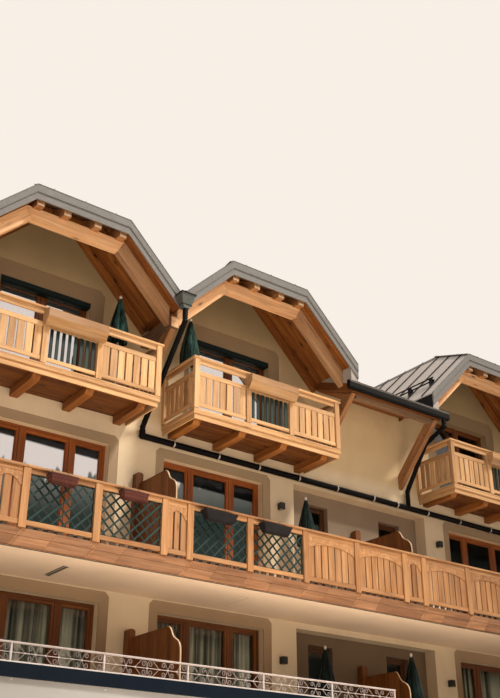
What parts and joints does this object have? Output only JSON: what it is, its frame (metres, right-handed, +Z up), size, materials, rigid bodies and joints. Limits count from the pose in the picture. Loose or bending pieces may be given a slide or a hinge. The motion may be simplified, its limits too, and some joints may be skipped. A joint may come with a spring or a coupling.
{
  "type": "alpine chalet",
  "caption": "Rendered alpine building with half-hipped cross gables, timber balconies, a recessed loggia and a terrace with a scrolled railing.",
  "frame": {"origin": "on the ground, below the middle of the front wall's outer face", "axes": "+X along the front to the right, +Y from the front wall into the building, +Z up"},
  "size_m": [23, 16.183, 13.8684],
  "materials": {
    "render": "rough plaster",
    "render_shade": "rough plaster",
    "render_soffit": "rough plaster",
    "concrete": "matt",
    "navy_sheet": "satin",
    "wrought_metal": "satin",
    "roof_sheet": "matt",
    "spruce_soffit": "oiled boards",
    "larch_timber": "planed timber",
    "weathered_timber": "weathered",
    "dark_sheet": "satin",
    "grey_sheet": "satin",
    "black_pipe": "satin",
    "clamp_metal": "bright",
    "green_paint": "painted",
    "fascia_timber": "weathered boards",
    "rail_timber": "weathered",
    "brown_plastic": "matt",
    "dark_plastic": "matt",
    "dark_timber": "stained",
    "window_timber": "stained",
    "window_glass": "clear",
    "green_metal": "satin",
    "lamp_metal": "satin",
    "curtain_cloth": "sheer weave",
    "parasol_metal": "satin",
    "parasol_cloth": "canvas"
  },
  "bodies": {
    "root": {"front_wall": "render", "back_wall": "render", "left_wall": "render", "right_wall": "render", "recess_wall": "render_shade", "terrace_wall": "render", "ground_floor": "concrete", "first_floor": "concrete", "second_floor": "concrete", "attic_floor": "concrete", "terrace_deck": "concrete", "terrace_band": "navy_sheet", "scroll_railing": "wrought_metal", "balcony_slab": "render_soffit", "roof_covering": "roof_sheet", "roof_deck": "spruce_soffit", "verge_fascias": "roof_sheet", "gable_frames": "larch_timber", "wall_rafters": "spruce_soffit", "rafter_tails": "larch_timber", "valley_beams": "weathered_timber", "knee_braces": "larch_timber", "gutters": "dark_sheet", "rain_hoppers": "grey_sheet", "downpipes": "dark_sheet", "collector_pipes": "black_pipe", "pipe_clamps": "clamp_metal", "snow_guards": "dark_sheet", "attic_balcony_decks": "spruce_soffit", "attic_balcony_brackets": "spruce_soffit", "attic_balcony_fascias": "larch_timber", "attic_balcony_railings": "larch_timber", "attic_balcony_boards": "larch_timber", "attic_balcony_slats": "green_paint", "flower_troughs": "larch_timber", "balcony_fascia": "fascia_timber", "balcony_railing": "rail_timber", "balcony_boards": "rail_timber", "balcony_lattices": "green_paint", "brown_planters": "brown_plastic", "dark_planters": "dark_plastic", "privacy_screens": "dark_timber", "window_frames_front": "window_timber", "window_frames_sides": "window_timber", "window_glass_front": "window_glass", "window_glass_sides": "window_glass", "awning_boxes": "green_metal", "wall_lamps": "lamp_metal", "curtains": "curtain_cloth", "parasol_stands": "parasol_metal", "parasol_canopies": "parasol_cloth"}
  },
  "joints": []
}
